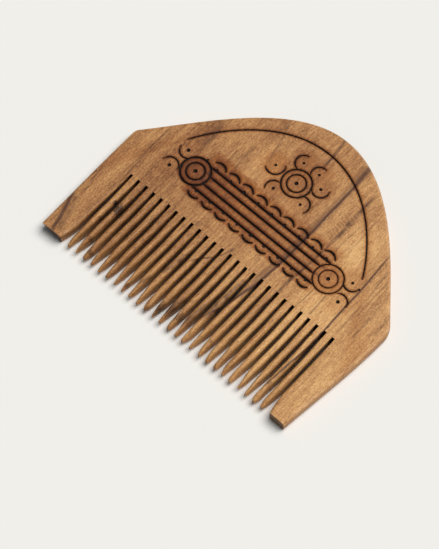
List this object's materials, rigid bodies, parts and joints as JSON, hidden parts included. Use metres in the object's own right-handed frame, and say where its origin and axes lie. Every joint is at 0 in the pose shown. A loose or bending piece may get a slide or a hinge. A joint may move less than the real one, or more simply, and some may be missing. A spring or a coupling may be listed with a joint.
{
  "type": "wooden comb",
  "caption": "Flat one-piece wooden hair comb with a domed back, wide guard teeth, pointed fine teeth and a carved ring and dot ornament.",
  "frame": {"origin": "middle of the comb's bounding box at the plane that its back face rests on", "axes": "+Z out of the carved face, -Y towards the tips of the teeth, +Y towards the domed back, +X along the row of teeth to the right when looking at the carved face with the dome up"},
  "size_m": [0.1142, 0.0922, 0.005],
  "materials": {
    "oiled_wood": "hand sanded and lightly oiled, semi-matt, with dark growth lines along the teeth and dark carved grooves"
  },
  "bodies": {
    "root": {"comb": "oiled_wood"}
  },
  "joints": []
}
